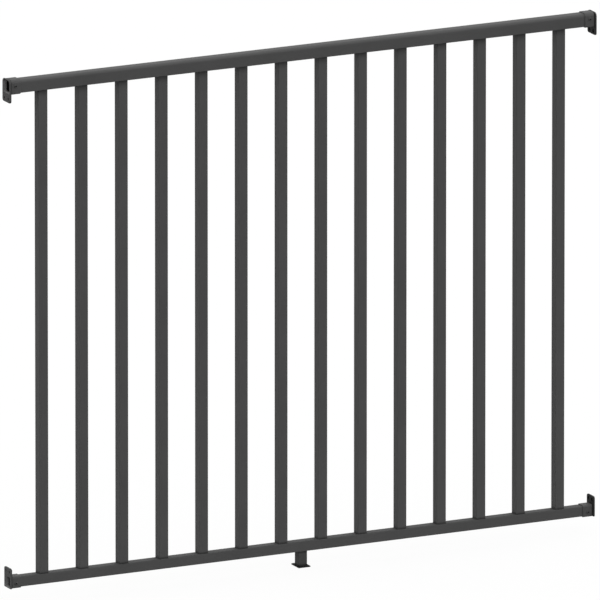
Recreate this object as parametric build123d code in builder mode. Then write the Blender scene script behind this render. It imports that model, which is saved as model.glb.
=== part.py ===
"""Welded aluminium pool fence panel, in millimetres.

Fourteen square pickets stand between a domed top rail and a slimmer bottom rail. Each rail end sits in
the socket of a cast bracket whose plate is screwed to a post, and a short foot carries mid-span.
The origin is on the post side of the lower left bracket, X runs along the fence, Y to its back, Z up.
"""
from build123d import *
import os

# Panel
picket_count = 14
picket_pitch = 114.3
post_to_picket = 98.5
panel_height = 1349.5

# Pickets
picket_size = 25.4
picket_wall = 1.5
picket_edge = 0.8

# Rails
rail_wall = 2.0
rail_heel = 1.2
rail_inner_round = 0.5
rail_end_gap = 8.5
top_rail_depth = 34.9
top_rail_height = 33.9
top_rail_shoulder = 8.0
bottom_rail_depth = 25.4
bottom_rail_height = 27.4
bottom_rail_shoulder = 2.5

# Brackets
plate_thickness = 4.0
plate_edge_break = 0.7
top_plate_depth = 47.0
bottom_plate_depth = 40.5
plate_heel_corner = 3.0
tab_reach = 24.5
tab_corner = 6.0
socket_clearance = 0.2
socket_wall = 2.0
socket_reach = 32.0
socket_mouth_break = 0.8
screw_hole_radius = 3.0
screw_head_radius = 5.5
screw_spread = 22.0
screw_from_rail = 14.5
origin_above_rail = 4.0

# Support foot
foot_drop = 41.0
foot_tube_size = 24.1
foot_tube_wall = 2.0
foot_tube_edge = 0.8
foot_plate_length = 34.5
foot_plate_depth = 45.0
foot_plate_thickness = 3.0
foot_plate_corner = 1.5

# Places worked out from the sizes above
panel_length = 2 * post_to_picket + (picket_count - 1) * picket_pitch
middle_x = panel_length / 2
bottom_rail_top = -origin_above_rail
bottom_rail_base = bottom_rail_top - bottom_rail_height
top_rail_top = bottom_rail_base + panel_height
top_rail_base = top_rail_top - top_rail_height
picket_length = top_rail_base - bottom_rail_top
foot_base = bottom_rail_base - foot_drop

os.makedirs("parts", exist_ok=True)


def write_piece(solid, name):
    """Name a finished piece and write it to its own file."""
    solid.label = name
    export_step(solid, f"parts/{name}.step")


def rail_outline(depth, height, shoulder, heel):
    """Outline of a rail seen along its length, with round shoulders above and eased heels below."""
    with BuildSketch() as outline:
        Rectangle(depth, height)
        fillet(outline.vertices().group_by(Axis.Y)[-1], shoulder)
        fillet(outline.vertices().group_by(Axis.Y)[0], heel)
    return outline.sketch


def grown_outline(depth, height, shoulder, growth):
    """Outline that lies outside a rail by an even distance."""
    return rail_outline(depth + 2 * growth, height + 2 * growth, shoulder + growth, rail_heel + growth)


def hollow_outline(depth, height, shoulder):
    """Outline of the hollow inside a rail."""
    inner_depth = depth - 2 * rail_wall
    inner_height = height - 2 * rail_wall
    return rail_outline(inner_depth, inner_height, shoulder - rail_wall, rail_inner_round)


def rail(name, depth, height, shoulder, base):
    """Hollow rail extrusion whose ends stop inside the sockets, a little short of the posts."""
    middle_z = base + height / 2
    with BuildPart() as extrusion:
        with BuildSketch(Plane.YZ.offset(rail_end_gap)):
            with Locations((0, middle_z)):
                add(rail_outline(depth, height, shoulder, rail_heel))
                add(hollow_outline(depth, height, shoulder), mode=Mode.SUBTRACT)
        extrude(amount=panel_length - 2 * rail_end_gap)
    write_piece(extrusion.part, name)


def bracket(side, level, depth, height, shoulder, base, plate_depth, tab_up):
    """Cast end bracket: a post plate with a screw tab on one side and an open socket for the rail."""
    middle_z = base + height / 2
    growth = socket_clearance + socket_wall
    rail_top = base + height
    plate_low = base - (growth if tab_up else tab_reach)
    plate_high = rail_top + (tab_reach if tab_up else growth)
    tab_end, rail_end = (-1, 0) if tab_up else (0, -1)
    rail_corner = plate_heel_corner if tab_up else shoulder + growth
    screw_z = rail_top + screw_from_rail if tab_up else base - screw_from_rail

    with BuildPart() as casting:
        with BuildSketch(Plane.YZ) as plate:
            with Locations((0, (plate_low + plate_high) / 2)):
                Rectangle(plate_depth, plate_high - plate_low)
            fillet(plate.vertices().group_by(Axis.Y)[tab_end], tab_corner)
            fillet(plate.vertices().group_by(Axis.Y)[rail_end], rail_corner)
        extrude(amount=plate_thickness)
        front_face = casting.faces().sort_by(Axis.X)[-1]
        chamfer(front_face.edges(), plate_edge_break)

        with BuildSketch(Plane.YZ.offset(plate_thickness)):
            with Locations((0, middle_z)):
                add(grown_outline(depth, height, shoulder, growth))
        extrude(amount=socket_reach - plate_thickness)
        mouth_face = casting.faces().sort_by(Axis.X)[-1]
        chamfer(mouth_face.edges(), socket_mouth_break)

        with BuildSketch(Plane.YZ):
            with Locations((0, middle_z)):
                add(grown_outline(depth, height, shoulder, socket_clearance))
        extrude(amount=socket_reach, mode=Mode.SUBTRACT)

        with Locations(Plane.YZ.offset(plate_thickness)):
            with Locations((-screw_spread / 2, screw_z), (screw_spread / 2, screw_z)):
                CounterSinkHole(screw_hole_radius, screw_head_radius, plate_thickness)

    piece = casting.part
    if side == "right":
        piece = piece.mirror(Plane.YZ.offset(middle_x))
    write_piece(piece, f"bracket_{level}_{side}")


for number in range(picket_count):
    picket_x = post_to_picket + number * picket_pitch
    with BuildPart() as picket:
        with BuildSketch(Plane.XY.offset(bottom_rail_top)):
            with Locations((picket_x, 0)):
                RectangleRounded(picket_size, picket_size, picket_edge)
                Rectangle(picket_size - 2 * picket_wall, picket_size - 2 * picket_wall, mode=Mode.SUBTRACT)
        extrude(amount=picket_length)
    write_piece(picket.part, f"picket_{number + 1:02d}")

rail("top_rail", top_rail_depth, top_rail_height, top_rail_shoulder, top_rail_base)
rail("bottom_rail", bottom_rail_depth, bottom_rail_height, bottom_rail_shoulder, bottom_rail_base)

for hand in ("left", "right"):
    bracket(hand, "top", top_rail_depth, top_rail_height, top_rail_shoulder,
            top_rail_base, top_plate_depth, tab_up=False)
    bracket(hand, "bottom", bottom_rail_depth, bottom_rail_height, bottom_rail_shoulder,
            bottom_rail_base, bottom_plate_depth, tab_up=True)

with BuildPart() as foot_tube:
    with BuildSketch(Plane.XY.offset(foot_base + foot_plate_thickness)):
        with Locations((middle_x, 0)):
            RectangleRounded(foot_tube_size, foot_tube_size, foot_tube_edge)
            Rectangle(foot_tube_size - 2 * foot_tube_wall, foot_tube_size - 2 * foot_tube_wall,
                      mode=Mode.SUBTRACT)
    extrude(amount=foot_drop - foot_plate_thickness)
write_piece(foot_tube.part, "foot_tube")

with BuildPart() as foot_plate:
    with BuildSketch(Plane.XY.offset(foot_base)):
        with Locations((middle_x, 0)):
            RectangleRounded(foot_plate_length, foot_plate_depth, foot_plate_corner)
    extrude(amount=foot_plate_thickness)
    chamfer(foot_plate.faces().sort_by(Axis.Z)[-1].edges(), plate_edge_break)
write_piece(foot_plate.part, "foot_plate")
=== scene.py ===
"""Looks of a pool fence panel: powder coats, weld beads, lock screws and a plain studio."""
import math

import bmesh
import bpy
from bpy.props import FloatProperty, FloatVectorProperty, IntProperty, PointerProperty
from bpy.types import NodeSocket, Operator, Panel, PropertyGroup
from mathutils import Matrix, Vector


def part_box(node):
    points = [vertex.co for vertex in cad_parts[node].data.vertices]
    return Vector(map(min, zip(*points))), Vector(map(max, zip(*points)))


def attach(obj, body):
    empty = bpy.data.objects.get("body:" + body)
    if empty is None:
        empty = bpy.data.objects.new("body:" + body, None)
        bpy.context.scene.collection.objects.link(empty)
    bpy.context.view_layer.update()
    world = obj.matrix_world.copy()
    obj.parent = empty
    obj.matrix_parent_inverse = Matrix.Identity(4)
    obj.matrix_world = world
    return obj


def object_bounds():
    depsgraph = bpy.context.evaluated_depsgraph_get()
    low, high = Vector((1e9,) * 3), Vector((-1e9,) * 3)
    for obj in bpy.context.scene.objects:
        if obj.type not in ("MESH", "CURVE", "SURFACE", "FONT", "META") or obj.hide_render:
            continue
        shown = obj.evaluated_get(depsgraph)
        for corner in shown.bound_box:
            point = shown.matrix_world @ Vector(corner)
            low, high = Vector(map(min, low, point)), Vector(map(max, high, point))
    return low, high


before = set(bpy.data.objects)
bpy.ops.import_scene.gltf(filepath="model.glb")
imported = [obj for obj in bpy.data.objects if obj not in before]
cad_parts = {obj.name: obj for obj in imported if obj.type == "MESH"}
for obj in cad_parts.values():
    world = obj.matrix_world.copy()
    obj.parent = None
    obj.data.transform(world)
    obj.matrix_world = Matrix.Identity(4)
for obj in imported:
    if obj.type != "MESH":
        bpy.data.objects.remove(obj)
cad_low, cad_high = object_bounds()

bl_info = {
    "name": "Pool Fence Panel Looks",
    "version": (1, 0, 0),
    "blender": (4, 5, 0),
    "location": "View3D > Sidebar > Fence",
    "description": "Dresses the packed fence panel with coats, welds and screws, and sets the studio",
    "category": "Object",
}

BODY = "root"
PICKETS = sorted(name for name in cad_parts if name.startswith("picket_"))
BRACKETS = sorted(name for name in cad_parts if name.startswith("bracket_"))

# Sizes of the brackets, as in the CAD
PLATE_THICKNESS = 0.004
SOCKET_GROWTH = 0.0022
HOLE_SPREAD = 0.022
HOLE_FROM_RAIL = 0.0145
HOLE_HEAD_RADIUS = 0.0055

# Room that the painted light and shade in a bracket's coat leave round the surfaces they are for
SOCKET_SLACK = 0.0006
HOLE_SLACK = 0.0001
POST_SLACK = 0.0003
INWARD_DEPTH = 0.002

# Clouds in the coat: their noise, what it usually spans, and how far it shifts colour and roughness
CLOUD_SCALE = 7.0
CLOUD_DETAIL = 4.0
NOISE_SPAN = (0.3, 0.7)
SHADE_SPREAD = 0.07
ROUGHNESS_SPREAD = 0.05

# Peel in the coat, drawn out along the upright tubes and along the rails
PEEL_DETAIL = 2.0
UPRIGHT_GRAIN = (1.0, 1.0, 0.35)
LEVEL_GRAIN = (0.35, 1.0, 1.0)

# Darker edges: cosine of the rounded normal's turn where they start and where they are full
EDGE_SAMPLES = 6
EDGE_TURN = (0.995, 0.80)
EDGE_STRENGTH = 0.55

# Shape of a weld bead along its run and across it
STATIONS_PER_RIPPLE = 4
FEWEST_RIPPLES = 2
TAPER_RATE = 8.0
TAPER_END = 0.45
FACE_HOLLOW = 0.18

# Shape of a screw's head
HEAD_CORNERS = 32
HEAD_RINGS = 6
CROWN_SHARE = 0.75

# The photograph's width and scale, and the point of the panel that it has in its middle
IMAGE_SIZE = 600
PIXELS_PER_METRE = 386.2
AIM_ALONG = 0.8388
AIM_UP = 0.6398
SENSOR_WIDTH = 36.0
CLIP_START = 1.0

# The floor's half width, and its brightness to the camera, a touch over white
FLOOR_REACH = 6.0
FLOOR_WHITE = 1.003
WHITE = (1.0, 1.0, 1.0, 1.0)

# Distance between the nodes of a material in the node editor
NODE_COLUMN = 220
NODE_ROW = 260


class FenceCoatSettings(PropertyGroup):
    """Sizes and colours of the powder coat, and of the light and shade painted into it."""

    coat_colour: FloatVectorProperty(
        name="Coat colour", description="Dark grey of the powder coat", subtype="COLOR",
        size=3, min=0.0, max=1.0, default=(0.079, 0.079, 0.079))
    # The foot's tube is the coat grey darkened as painted shade, for its place under the bottom rail.
    tube_painted_shade_colour: FloatVectorProperty(
        name="Foot tube colour", description="Slightly darker grey of the foot's tube", subtype="COLOR",
        size=3, min=0.0, max=1.0, default=(0.057, 0.057, 0.057))
    # Near black for the foot's plate, and near black as painted shade in the rails' hollows, the screw holes
    # and the screw recesses.
    black_and_painted_shade_colour: FloatVectorProperty(
        name="Dark colour", description="Near black of the foot's plate and of all hollows and holes",
        subtype="COLOR", size=3, min=0.0, max=1.0, default=(0.004, 0.004, 0.004))
    edge_colour: FloatVectorProperty(
        name="Edge colour", description="Darker coat along sharp edges", subtype="COLOR",
        size=3, min=0.0, max=1.0, default=(0.050, 0.050, 0.050))
    # Pale uncoated metal inside the sockets, made pale enough to be painted light where the socket lies in
    # shade.
    bare_metal_and_painted_light_colour: FloatVectorProperty(
        name="Bare colour", description="Pale uncoated metal inside the brackets' sockets", subtype="COLOR",
        size=3, min=0.0, max=1.0, default=(0.26, 0.26, 0.26))
    roughness: FloatProperty(
        name="Roughness", description="Middle roughness of the satin coat", subtype="FACTOR",
        min=0.0, max=1.0, default=0.62)
    gloss: FloatProperty(
        name="Gloss", description="Specular level of the coat", subtype="FACTOR",
        min=0.0, max=1.0, default=0.12)
    peel_spacing: FloatProperty(
        name="Peel spacing", description="Distance between the ripples of the cured powder",
        unit="LENGTH", min=0.0002, default=0.0016)
    peel_height: FloatProperty(
        name="Peel height", description="Height of the ripples of the cured powder",
        unit="LENGTH", min=0.0, default=0.0001)
    edge_reach: FloatProperty(
        name="Edge reach", description="How far the darker coat reaches from an edge",
        unit="LENGTH", min=0.0, default=0.0009)
    # Painted shade at the joint at a picket's foot and at both ends of the foot's tube: the coat colour
    # darkened where shade falls.
    painted_joint_reach: FloatProperty(
        name="Joint reach", description="How far the dark coat reaches from the joint at a picket's foot",
        unit="LENGTH", min=0.0001, default=0.0075)
    painted_joint_shade: FloatProperty(
        name="Joint shade", description="Share of the coat colour left at the joint at a picket's foot",
        subtype="FACTOR", min=0.0, max=1.0, default=0.40)
    # Painted shade on the pickets right below the top rail, which stands proud: the rail's shadow darkened
    # into the coat colour.
    painted_eave_reach: FloatProperty(
        name="Eave reach", description="How far the dark coat reaches below a rail that stands proud",
        unit="LENGTH", min=0.0001, default=0.022)
    painted_eave_shade: FloatProperty(
        name="Eave shade", description="Share of the coat colour left right below such a rail",
        subtype="FACTOR", min=0.0, max=1.0, default=0.58)
    # Painted shade on the bottom rail's top face, where the pickets shade it.
    painted_ledge_reach: FloatProperty(
        name="Ledge reach", description="How far the dark coat reaches down from the bottom rail's top face",
        unit="LENGTH", min=0.0001, default=0.0025)
    painted_ledge_shade: FloatProperty(
        name="Ledge shade", description="Share of the coat colour left on the bottom rail's top face",
        subtype="FACTOR", min=0.0, max=1.0, default=0.76)
    # Painted shade on the inner face of each post plate and round the socket's root, darkened as if in the
    # socket's shadow.
    painted_plate_reach: FloatProperty(
        name="Plate reach", description="How far the dark coat reaches from the inner face of a post plate",
        unit="LENGTH", min=0.0001, default=0.003)
    painted_plate_shade: FloatProperty(
        name="Plate shade", description="Share of the coat colour left on the inner face of a post plate",
        subtype="FACTOR", min=0.0, max=1.0, default=0.2)


class FenceWeldSettings(PropertyGroup):
    """Sizes of the fillet welds round the picket ends."""

    leg: FloatProperty(
        name="Leg", description="Leg length of a fillet weld", unit="LENGTH", min=0.0001, default=0.0018)
    ripple_spacing: FloatProperty(
        name="Ripple spacing", description="Distance from one weld ripple to the next",
        unit="LENGTH", min=0.0001, default=0.0012)
    ripple_depth: FloatProperty(
        name="Ripple depth", description="How deep the ripples are cut, as a share of the leg",
        subtype="FACTOR", min=0.0, max=1.0, default=0.16)
    section_steps: IntProperty(
        name="Section steps", description="Facets across the face of a weld", min=2, default=4)


class FenceScrewSettings(PropertyGroup):
    """Sizes of the lock screws in the rail sockets."""

    head_radius: FloatProperty(
        name="Head radius", description="Radius of the pan head", unit="LENGTH", min=0.0005, default=0.0042)
    head_height: FloatProperty(
        name="Head height", description="Height of the pan head", unit="LENGTH", min=0.0002, default=0.0022)
    recess_width: FloatProperty(
        name="Recess width", description="Width across the square drive recess",
        unit="LENGTH", min=0.0002, default=0.0036)
    recess_depth: FloatProperty(
        name="Recess depth", description="Depth of the square drive recess",
        unit="LENGTH", min=0.0001, default=0.0014)
    from_post: FloatProperty(
        name="From post", description="Distance from the post face to the screw",
        unit="LENGTH", min=0.001, default=0.0175)
    off_middle: FloatProperty(
        name="Off middle", description="How far the screw sits from the rail's middle, away from the pickets",
        unit="LENGTH", min=0.0, default=0.003)


class FenceStageSettings(PropertyGroup):
    """Camera, light and floor."""

    azimuth: FloatProperty(
        name="Azimuth", description="Turn of the camera about the panel", subtype="ANGLE",
        default=math.radians(-25.8))
    elevation: FloatProperty(
        name="Elevation", description="Height of the camera above the horizon", subtype="ANGLE",
        default=math.radians(14.47))
    focal_length: FloatProperty(
        name="Focal length", description="Very long lens, because the photograph has parallel lines",
        subtype="DISTANCE_CAMERA", min=10.0, default=1700.0)
    sky_strength: FloatProperty(
        name="Sky strength", description="Light of the even white sky", min=0.0, default=1.35)
    sky_tilt: FloatProperty(
        name="Sky tilt", description="How much more light comes from the right than from the left",
        subtype="FACTOR", min=0.0, max=1.0, default=0.3)
    floor_shade: FloatProperty(
        name="Floor shade", description="Share of the light that the floor throws back and its shadow takes",
        subtype="FACTOR", min=0.0, max=1.0, default=0.06)


def add_node(tree, kind, inputs=None, **fields):
    """Add a shader node, set its fields, and link or set the inputs given by name or number."""
    node = tree.nodes.new(kind)
    for field, value in fields.items():
        setattr(node, field, value)
    for name, value in (inputs or {}).items():
        if isinstance(value, NodeSocket):
            tree.links.new(value, node.inputs[name])
        else:
            node.inputs[name].default_value = value
    return node


def calculate(tree, operation, *values):
    """Add a math node on numbers or the outputs of other nodes, and return its result."""
    return add_node(tree, "ShaderNodeMath", dict(enumerate(values)), operation=operation).outputs["Value"]


def calculate_vectors(tree, operation, *values):
    """Add a node that makes one number from vectors, and return that number."""
    node = add_node(tree, "ShaderNodeVectorMath", dict(enumerate(values)), operation=operation)
    return node.outputs["Value"]


def map_range(tree, value, source, target, interpolation="LINEAR"):
    """Map a value from one range onto another and hold it there."""
    inputs = {"Value": value, "From Min": source[0], "From Max": source[1],
              "To Min": target[0], "To Max": target[1]}
    node = add_node(tree, "ShaderNodeMapRange", inputs, interpolation_type=interpolation)
    return node.outputs["Result"]


def mix_colours(tree, factor, under, over, blend="MIX"):
    """Mix two colours, each a triple or the output of another node."""
    inputs = {"Factor": factor}
    for name, colour in (("A", under), ("B", over)):
        inputs[name] = colour if isinstance(colour, NodeSocket) else (*colour, 1.0)
    return add_node(tree, "ShaderNodeMix", inputs, data_type="RGBA", blend_type=blend).outputs["Result"]


def panel_place(tree):
    """Object coordinates as a vector and as its parts. They are the panel's, because no origin is moved."""
    where = add_node(tree, "ShaderNodeTexCoord").outputs["Object"]
    return where, add_node(tree, "ShaderNodeSeparateXYZ", {"Vector": where}).outputs


def lay_out(tree):
    """Line the nodes up in columns by the number of links between each and the output."""
    columns = {node.name: 0 for node in tree.nodes}
    for _ in columns:
        for link in tree.links:
            before = columns[link.to_node.name] + 1
            columns[link.from_node.name] = max(columns[link.from_node.name], before)
    filled = {}
    for node in tree.nodes:
        column = columns[node.name]
        row = filled.get(column, 0)
        node.location = (-NODE_COLUMN * column, -NODE_ROW * row)
        filled[column] = row + 1


def painted_shade_factor(tree, parts, axis, joints):
    """Factor that falls from one to a joint's painted shade at its place along an axis: shade darkened into
    the coat at the joint.
    """
    factor = 1.0
    for place, reach, shade in joints:
        distance = calculate(tree, "ABSOLUTE", calculate(tree, "SUBTRACT", parts[axis], place))
        at_joint = map_range(tree, distance, (0.0, reach), (shade, 1.0), "SMOOTHSTEP")
        factor = calculate(tree, "MULTIPLY", factor, at_joint)
    return factor


def powder_coat(name, colour, settings, grain_stretch=(1.0, 1.0, 1.0), joints=None):
    """Satin powder coat: fine peel in the bump, soft clouds in colour and gloss, darker along the edges.

    Joints, where given, are an axis and a list of places along it, each with the reach and strength of the
    shade painted into the coat there.
    """
    material = bpy.data.materials.new(name)
    material.use_nodes = True
    tree = material.node_tree
    shader = tree.nodes["Principled BSDF"]
    shader.inputs["Specular IOR Level"].default_value = settings.gloss
    where, parts = panel_place(tree)

    cloud = add_node(tree, "ShaderNodeTexNoise",
                     {"Vector": where, "Scale": CLOUD_SCALE, "Detail": CLOUD_DETAIL}).outputs["Fac"]
    shade = map_range(tree, cloud, NOISE_SPAN, (1.0 - SHADE_SPREAD, 1.0 + SHADE_SPREAD))
    rounded = add_node(tree, "ShaderNodeBevel", {"Radius": settings.edge_reach}, samples=EDGE_SAMPLES)
    flat = add_node(tree, "ShaderNodeNewGeometry")
    turn = calculate_vectors(tree, "DOT_PRODUCT", rounded.outputs["Normal"], flat.outputs["Normal"])
    edge = map_range(tree, turn, EDGE_TURN, (0.0, EDGE_STRENGTH))
    coat = mix_colours(tree, 1.0, colour, shade, "MULTIPLY")
    coat = mix_colours(tree, edge, coat, settings.edge_colour)
    # Painted shade: the coat colour darkened towards the joints, where shade falls.
    if joints:
        coat = mix_colours(tree, 1.0, coat, painted_shade_factor(tree, parts, *joints), "MULTIPLY")
    tree.links.new(coat, shader.inputs["Base Color"])

    roughness = (settings.roughness - ROUGHNESS_SPREAD, settings.roughness + ROUGHNESS_SPREAD)
    tree.links.new(map_range(tree, cloud, NOISE_SPAN, roughness), shader.inputs["Roughness"])

    stretch = add_node(tree, "ShaderNodeMapping", {"Vector": where, "Scale": grain_stretch})
    peel = add_node(tree, "ShaderNodeTexNoise", {
        "Vector": stretch.outputs["Vector"], "Scale": 1.0 / settings.peel_spacing, "Detail": PEEL_DETAIL})
    bump = add_node(tree, "ShaderNodeBump", {
        "Distance": settings.peel_height, "Height": peel.outputs["Fac"], "Normal": rounded.outputs["Normal"]})
    tree.links.new(bump.outputs["Normal"], shader.inputs["Normal"])
    lay_out(tree)
    return material


def marks_together(tree, *marks):
    """Mark where every one of several marks holds."""
    together = marks[0]
    for mark in marks[1:]:
        together = calculate(tree, "MULTIPLY", together, mark)
    return together


def faces_inward(tree, parts, axis_z):
    """Mark the faces that look towards a rail's own axis, which runs along X at a given height."""
    rise = calculate(tree, "SUBTRACT", parts["Z"], axis_z)
    outward = add_node(tree, "ShaderNodeCombineXYZ", {"Y": parts["Y"], "Z": rise}).outputs["Vector"]
    surface = add_node(tree, "ShaderNodeNewGeometry").outputs["True Normal"]
    facing = calculate_vectors(tree, "DOT_PRODUCT", outward, surface)
    return calculate(tree, "LESS_THAN", facing, -INWARD_DEPTH)


def paint_over(tree, mark, colour):
    """Lay a colour over the coat where a mark holds, in front of whatever feeds the shader."""
    painted = tree.nodes["Principled BSDF"].inputs["Base Color"]
    under = painted.links[0].from_socket
    tree.links.new(mix_colours(tree, mark, under, colour), painted)
    lay_out(tree)


def shade_rail_inside(material, rail_name, settings):
    """Paint the inside of a hollow rail near black as painted shade."""
    tree = material.node_tree
    low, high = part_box(rail_name)
    parts = panel_place(tree)[1]
    paint_over(tree, faces_inward(tree, parts, (low.z + high.z) / 2), settings.black_and_painted_shade_colour)


def paint_bracket_light_and_shade(material, rail_name, hole_z, settings):
    """Paint pale uncoated metal inside a bracket's socket, pale enough to be painted light in the socket's
    shade, and near black painted shade on the walls of its two screw holes.
    """
    tree = material.node_tree
    rail_low, rail_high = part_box(rail_name)
    parts = panel_place(tree)[1]
    across = calculate(tree, "ABSOLUTE", parts["Y"])

    # Painted light: pale bare metal on the socket's inner faces, lighter than their shade allows.
    inside = marks_together(
        tree,
        calculate(tree, "LESS_THAN", across, rail_high.y + SOCKET_SLACK),
        calculate(tree, "GREATER_THAN", parts["Z"], rail_low.z - SOCKET_SLACK),
        calculate(tree, "LESS_THAN", parts["Z"], rail_high.z + SOCKET_SLACK),
        faces_inward(tree, parts, (rail_low.z + rail_high.z) / 2))
    paint_over(tree, inside, settings.bare_metal_and_painted_light_colour)

    # Painted shade: near black on the screw holes' walls and countersinks, off the post face.
    from_hole = add_node(tree, "ShaderNodeCombineXYZ", {
        "X": calculate(tree, "SUBTRACT", across, HOLE_SPREAD / 2),
        "Y": calculate(tree, "SUBTRACT", parts["Z"], hole_z)})
    radius = calculate_vectors(tree, "LENGTH", from_hole.outputs["Vector"])
    middle, half_length = (cad_low.x + cad_high.x) / 2, (cad_high.x - cad_low.x) / 2
    outward = calculate(tree, "ABSOLUTE", calculate(tree, "SUBTRACT", parts["X"], middle))
    bore_shade_mask = marks_together(
        tree,
        calculate(tree, "LESS_THAN", radius, HOLE_HEAD_RADIUS + HOLE_SLACK),
        calculate(tree, "LESS_THAN", outward, half_length - POST_SLACK))
    paint_over(tree, bore_shade_mask, settings.black_and_painted_shade_colour)


def picket_joints(settings):
    """Where the pickets meet the rails, with the reach and strength of the shade painted there."""
    low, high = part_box(PICKETS[0])
    return "Z", ((low.z, settings.painted_joint_reach, settings.painted_joint_shade),
                 (high.z, settings.painted_eave_reach, settings.painted_eave_shade))


def foot_joints(settings):
    """Where the foot's tube meets the bottom rail and its plate, with the reach and strength of the shade
    painted there.
    """
    low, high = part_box("foot_tube")
    return "Z", [(place, settings.painted_joint_reach, settings.painted_joint_shade) for place in (low.z, high.z)]


def coat_nodes(names, material):
    """Give the named CAD nodes one material."""
    for name in names:
        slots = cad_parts[name].data.materials
        slots.clear()
        slots.append(material)


class FENCE_OT_coat_pickets(Operator):
    """Coat the fourteen pickets"""

    bl_idname = "fence.coat_pickets"
    bl_label = "Coat Pickets"

    def execute(self, context):
        coat = context.scene.fence_coat
        # Painted shade at each picket's foot, and longer below the top rail, as the rail's shadow.
        material = powder_coat("picket_coat", coat.coat_colour, coat, UPRIGHT_GRAIN, picket_joints(coat))
        coat_nodes(PICKETS, material)
        return {"FINISHED"}


class FENCE_OT_coat_rails(Operator):
    """Coat the top and bottom rails"""

    bl_idname = "fence.coat_rails"
    bl_label = "Coat Rails"

    def execute(self, context):
        coat = context.scene.fence_coat
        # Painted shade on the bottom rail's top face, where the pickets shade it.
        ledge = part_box("bottom_rail")[1].z
        joints = {"top_rail": None, "bottom_rail": ("Z", ((ledge, coat.painted_ledge_reach, coat.painted_ledge_shade),))}
        for name in ("top_rail", "bottom_rail"):
            material = powder_coat(f"{name}_coat", coat.coat_colour, coat, LEVEL_GRAIN, joints[name])
            # Near black painted shade inside each hollow rail.
            shade_rail_inside(material, name, coat)
            coat_nodes((name,), material)
        return {"FINISHED"}


class FENCE_OT_coat_brackets(Operator):
    """Coat the four cast brackets"""

    bl_idname = "fence.coat_brackets"
    bl_label = "Coat Brackets"

    def execute(self, context):
        coat = context.scene.fence_coat
        # Painted shade on the inner face of each post plate, as the socket's shadow; pale painted light in
        # the socket and painted shade in the screw holes.
        inner_faces = (cad_low.x + PLATE_THICKNESS, cad_high.x - PLATE_THICKNESS)
        joints = ("X", [(place, coat.painted_plate_reach, coat.painted_plate_shade) for place in inner_faces])
        for level in ("top", "bottom"):
            rail_low, rail_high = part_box(f"{level}_rail")
            hole_z = rail_low.z - HOLE_FROM_RAIL if level == "top" else rail_high.z + HOLE_FROM_RAIL
            material = powder_coat(f"{level}_bracket_coat", coat.coat_colour, coat, joints=joints)
            paint_bracket_light_and_shade(material, f"{level}_rail", hole_z, coat)
            coat_nodes([name for name in BRACKETS if level in name], material)
        return {"FINISHED"}


class FENCE_OT_coat_foot(Operator):
    """Coat the support foot, whose tube is darker grey as painted shade and darker still at both ends, and
    whose base plate is near black
    """

    bl_idname = "fence.coat_foot"
    bl_label = "Coat Foot"

    def execute(self, context):
        coat = context.scene.fence_coat
        tube_coat = powder_coat("foot_tube_coat", coat.tube_painted_shade_colour, coat, UPRIGHT_GRAIN, foot_joints(coat))
        plate_coat = powder_coat("foot_plate_coat", coat.black_and_painted_shade_colour, coat)
        coat_nodes(("foot_tube",), tube_coat)
        coat_nodes(("foot_plate",), plate_coat)
        return {"FINISHED"}


def make_object(name, shape, *materials):
    """Turn a finished bmesh into a named object in the scene, with its materials."""
    mesh = bpy.data.meshes.new(name)
    shape.to_mesh(mesh)
    shape.free()
    for material in materials:
        mesh.materials.append(material)
    made = bpy.data.objects.new(name, mesh)
    bpy.context.collection.objects.link(made)
    return made


def weld_bead(shape, start, end, wall_side, floor_side, settings):
    """Add one fillet weld that runs in a corner, with its ripples, to a bmesh."""
    run = end - start
    ripples = max(FEWEST_RIPPLES, round(run.length / settings.ripple_spacing))
    stations = STATIONS_PER_RIPPLE * ripples
    steps = settings.section_steps
    rows = []
    for station in range(stations + 1):
        share = station / stations
        ripple = 1.0 - settings.ripple_depth * abs(math.sin(math.pi * share * ripples))
        taper = min(1.0, TAPER_RATE * min(share, 1.0 - share) + TAPER_END)
        leg = settings.leg * ripple * taper
        here = start + run * share
        row = [shape.verts.new(here)]
        for step in range(steps + 1):
            turn = 0.5 * math.pi * step / steps
            bulge = 1.0 - FACE_HOLLOW * math.sin(2.0 * turn)
            offset = wall_side * math.cos(turn) + floor_side * math.sin(turn)
            row.append(shape.verts.new(here + offset * leg * bulge))
        rows.append(row)
    count = len(rows[0])
    for first, second in zip(rows, rows[1:]):
        for k in range(count):
            after = (k + 1) % count
            shape.faces.new((first[k], first[after], second[after], second[k]))
    shape.faces.new(reversed(rows[0]))
    shape.faces.new(rows[-1])


def weld_tube_ends(shape, low, high, settings):
    """Add the beads that join both ends of an upright tube to what is above and below it, left and right."""
    up = Vector((0, 0, 1))
    for end_z, floor_side in ((low.z, up), (high.z, -up)):
        for edge_x, side in ((low.x, -1), (high.x, 1)):
            start = Vector((edge_x, low.y + settings.leg, end_z))
            end = Vector((edge_x, high.y - settings.leg, end_z))
            weld_bead(shape, start, end, Vector((side, 0, 0)), floor_side, settings)


def add_weld_piece(name, shape, material):
    """Finish a bmesh of weld beads as a smooth piece that rides with the panel."""
    bmesh.ops.recalc_face_normals(shape, faces=shape.faces)
    welds = make_object(name, shape, material)
    welds.data.shade_smooth()
    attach(welds, BODY)


class FENCE_OT_add_welds(Operator):
    """Run a fillet weld along both sides of every picket end"""

    bl_idname = "fence.add_welds"
    bl_label = "Add Welds"

    def execute(self, context):
        coat = context.scene.fence_coat
        # The welds carry the same painted shade as the picket ends.
        material = powder_coat("weld_coat", coat.coat_colour, coat, joints=picket_joints(coat))
        for name in PICKETS:
            shape = bmesh.new()
            weld_tube_ends(shape, *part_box(name), context.scene.fence_weld)
            add_weld_piece(f"weld_{name}", shape, material)
        return {"FINISHED"}


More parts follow.
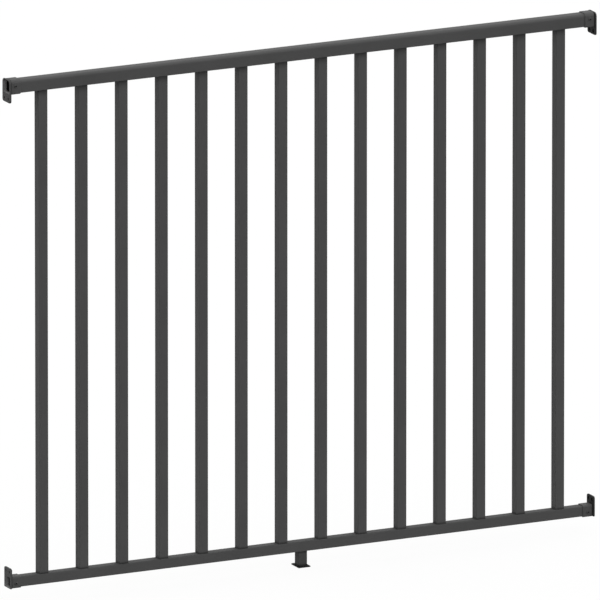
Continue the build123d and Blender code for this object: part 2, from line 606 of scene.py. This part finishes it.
class FENCE_OT_add_foot_welds(Operator):
    """Weld the foot's tube under the bottom rail and round its base on the plate"""

    bl_idname = "fence.add_foot_welds"
    bl_label = "Add Foot Welds"

    def execute(self, context):
        settings = context.scene.fence_weld
        coat = context.scene.fence_coat
        # The welds carry the foot tube's painted shade.
        material = powder_coat("foot_weld_coat", coat.tube_painted_shade_colour, coat, joints=foot_joints(coat))
        low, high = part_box("foot_tube")
        shape = bmesh.new()
        weld_tube_ends(shape, low, high, settings)
        for edge_y, side in ((low.y, -1), (high.y, 1)):
            start = Vector((low.x + settings.leg, edge_y, low.z))
            end = Vector((high.x - settings.leg, edge_y, low.z))
            weld_bead(shape, start, end, Vector((0, side, 0)), Vector((0, 0, 1)), settings)
        add_weld_piece("weld_foot", shape, material)
        return {"FINISHED"}


def pan_head(settings):
    """Mesh of a pan head screw with a square recess, its seat on the XZ plane and its crown towards -Y."""
    shape = bmesh.new()
    angles = [2 * math.pi * k / HEAD_CORNERS for k in range(HEAD_CORNERS)]
    crown = settings.recess_width * CROWN_SHARE
    rows = []
    for ring in range(HEAD_RINGS + 1):
        turn = 0.5 * math.pi * ring / HEAD_RINGS
        radius = crown + (settings.head_radius - crown) * math.cos(turn)
        height = settings.head_height * math.sin(turn)
        rows.append([shape.verts.new((radius * math.cos(angle), -height, radius * math.sin(angle)))
                     for angle in angles])
    for depth in (0.0, settings.recess_depth):
        square = []
        for angle in angles:
            reach = settings.recess_width / 2 / max(abs(math.cos(angle)), abs(math.sin(angle)))
            square.append(shape.verts.new((reach * math.cos(angle), depth - settings.head_height,
                                           reach * math.sin(angle))))
        rows.append(square)
    for first, second in zip(rows, rows[1:]):
        for k in range(HEAD_CORNERS):
            after = (k + 1) % HEAD_CORNERS
            shape.faces.new((first[k], first[after], second[after], second[k]))
    shape.faces.new(rows[-1])
    shape.faces.new(reversed(rows[0]))
    bmesh.ops.recalc_face_normals(shape, faces=shape.faces)
    recess = {corner for row in rows[-2:] for corner in row}
    for face in shape.faces:
        face.material_index = int(all(corner in recess for corner in face.verts))
    return shape


class FENCE_OT_add_screws(Operator):
    """Set one lock screw in the front of every rail socket"""

    bl_idname = "fence.add_screws"
    bl_label = "Add Lock Screws"

    def execute(self, context):
        settings = context.scene.fence_screw
        coat = context.scene.fence_coat
        head_coat = powder_coat("screw_coat", coat.coat_colour, coat)
        # The screws' square recesses are near black as painted shade.
        recess_shade_coat = powder_coat("screw_recess_painted_shade", coat.black_and_painted_shade_colour, coat)
        for name in BRACKETS:
            _, level, side = name.split("_")
            rail_low, rail_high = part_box(f"{level}_rail")
            low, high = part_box(name)
            along = low.x + settings.from_post if side == "left" else high.x - settings.from_post
            away = settings.off_middle if level == "top" else -settings.off_middle
            seat = Vector((along, rail_low.y - SOCKET_GROWTH, (rail_low.z + rail_high.z) / 2 + away))
            shape = pan_head(settings)
            bmesh.ops.translate(shape, verts=shape.verts, vec=seat)
            screw = make_object(f"lock_screw_{level}_{side}", shape, head_coat, recess_shade_coat)
            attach(screw, BODY)
        return {"FINISHED"}


def backdrop_rays(tree):
    """Mark the rays that see the plain white surroundings: camera, glossy and transmission rays."""
    rays = add_node(tree, "ShaderNodeLightPath").outputs
    seen = calculate(tree, "MAXIMUM", rays["Is Camera Ray"], rays["Is Glossy Ray"])
    return calculate(tree, "MAXIMUM", seen, rays["Is Transmission Ray"])


def set_world(settings):
    """Even white sky over a dark ground, a little brighter to the right, and plain white to the camera."""
    world = bpy.data.worlds.new("studio_sky")
    bpy.context.scene.world = world
    world.use_nodes = True
    tree = world.node_tree
    tree.nodes.clear()

    where = add_node(tree, "ShaderNodeTexCoord").outputs["Generated"]
    parts = add_node(tree, "ShaderNodeSeparateXYZ", {"Vector": where}).outputs
    above = calculate(tree, "GREATER_THAN", parts["Z"], 0.0)
    tilt = calculate(tree, "MULTIPLY_ADD", parts["X"], settings.sky_tilt, 1.0)
    level = calculate(tree, "MULTIPLY", above, tilt)
    strength = calculate(tree, "MULTIPLY", level, settings.sky_strength)

    sky = add_node(tree, "ShaderNodeBackground", {"Color": WHITE, "Strength": strength})
    plain = add_node(tree, "ShaderNodeBackground", {"Color": WHITE})
    pick = add_node(tree, "ShaderNodeMixShader", {
        "Fac": backdrop_rays(tree), 1: sky.outputs["Background"], 2: plain.outputs["Background"]})
    add_node(tree, "ShaderNodeOutputWorld", {"Surface": pick.outputs["Shader"]})
    lay_out(tree)


def set_floor(settings):
    """Floor under the foot: dark to the light, white to the camera, apart from the panel's soft shadow."""
    middle = (cad_low + cad_high) / 2
    corners = ((-1, -1), (1, -1), (1, 1), (-1, 1))
    shape = bmesh.new()
    shape.faces.new([shape.verts.new((middle.x + FLOOR_REACH * x, middle.y + FLOOR_REACH * y, cad_low.z))
                     for x, y in corners])

    material = bpy.data.materials.new("pale_floor")
    material.use_nodes = True
    tree = material.node_tree
    shader = tree.nodes["Principled BSDF"]
    shader.inputs["Base Color"].default_value = (*[settings.floor_shade] * 3, 1.0)
    shader.inputs["Roughness"].default_value = 1.0
    shader.inputs["Specular IOR Level"].default_value = 0.0
    shader.inputs["Emission Color"].default_value = WHITE
    glow = FLOOR_WHITE - settings.floor_shade * settings.sky_strength
    tree.links.new(calculate(tree, "MULTIPLY", backdrop_rays(tree), glow), shader.inputs["Emission Strength"])
    lay_out(tree)
    make_object("floor", shape, material)


def set_camera(settings):
    """Long lens at the photograph's viewing angle, with its frame width at the panel."""
    data = bpy.data.cameras.new("camera")
    data.lens = settings.focal_length
    data.sensor_width = SENSOR_WIDTH
    camera = bpy.data.objects.new("camera", data)
    bpy.context.collection.objects.link(camera)
    back = Vector((math.sin(settings.azimuth) * math.cos(settings.elevation),
                   -math.cos(settings.azimuth) * math.cos(settings.elevation),
                   math.sin(settings.elevation)))
    frame_width = IMAGE_SIZE / PIXELS_PER_METRE
    distance = frame_width * data.lens / data.sensor_width
    camera.location = Vector((AIM_ALONG, 0.0, AIM_UP)) + back * distance
    camera.rotation_mode = "QUATERNION"
    camera.rotation_quaternion = (-back).to_track_quat("-Z", "Y")
    data.clip_start = CLIP_START
    data.clip_end = 2.0 * distance
    bpy.context.scene.camera = camera


class FENCE_OT_set_stage(Operator):
    """Set the floor, the light and the camera"""

    bl_idname = "fence.set_stage"
    bl_label = "Set Stage"

    def execute(self, context):
        settings = context.scene.fence_stage
        context.scene.view_settings.view_transform = "Standard"
        set_world(settings)
        set_floor(settings)
        set_camera(settings)
        return {"FINISHED"}


STEPS = (
    FENCE_OT_coat_pickets,
    FENCE_OT_coat_rails,
    FENCE_OT_coat_brackets,
    FENCE_OT_coat_foot,
    FENCE_OT_add_welds,
    FENCE_OT_add_foot_welds,
    FENCE_OT_add_screws,
    FENCE_OT_set_stage,
)
SETTINGS = {
    "fence_coat": FenceCoatSettings,
    "fence_weld": FenceWeldSettings,
    "fence_screw": FenceScrewSettings,
    "fence_stage": FenceStageSettings,
}


class FENCE_PT_sidebar(Panel):
    """Shows the settings and the steps in the order they run"""

    bl_idname = "FENCE_PT_sidebar"
    bl_label = "Fence Panel"
    bl_space_type = "VIEW_3D"
    bl_region_type = "UI"
    bl_category = "Fence"

    def draw(self, context):
        for name in SETTINGS:
            group = getattr(context.scene, name)
            box = self.layout.box()
            for field in group.__annotations__:
                box.prop(group, field)
        for step in STEPS:
            self.layout.operator(step.bl_idname)


def register():
    """Register the settings, the steps and the panel."""
    for name, group in SETTINGS.items():
        bpy.utils.register_class(group)
        setattr(bpy.types.Scene, name, PointerProperty(type=group))
    for step in STEPS:
        bpy.utils.register_class(step)
    bpy.utils.register_class(FENCE_PT_sidebar)


def unregister():
    """Take everything back out."""
    bpy.utils.unregister_class(FENCE_PT_sidebar)
    for step in reversed(STEPS):
        bpy.utils.unregister_class(step)
    for name, group in reversed(SETTINGS.items()):
        delattr(bpy.types.Scene, name)
        bpy.utils.unregister_class(group)


def main():
    """Run the steps in order."""
    register()
    bpy.ops.fence.coat_pickets()
    bpy.ops.fence.coat_rails()
    bpy.ops.fence.coat_brackets()
    bpy.ops.fence.coat_foot()
    bpy.ops.fence.add_welds()
    bpy.ops.fence.add_foot_welds()
    bpy.ops.fence.add_screws()
    bpy.ops.fence.set_stage()


if __name__ == "__main__":
    main()
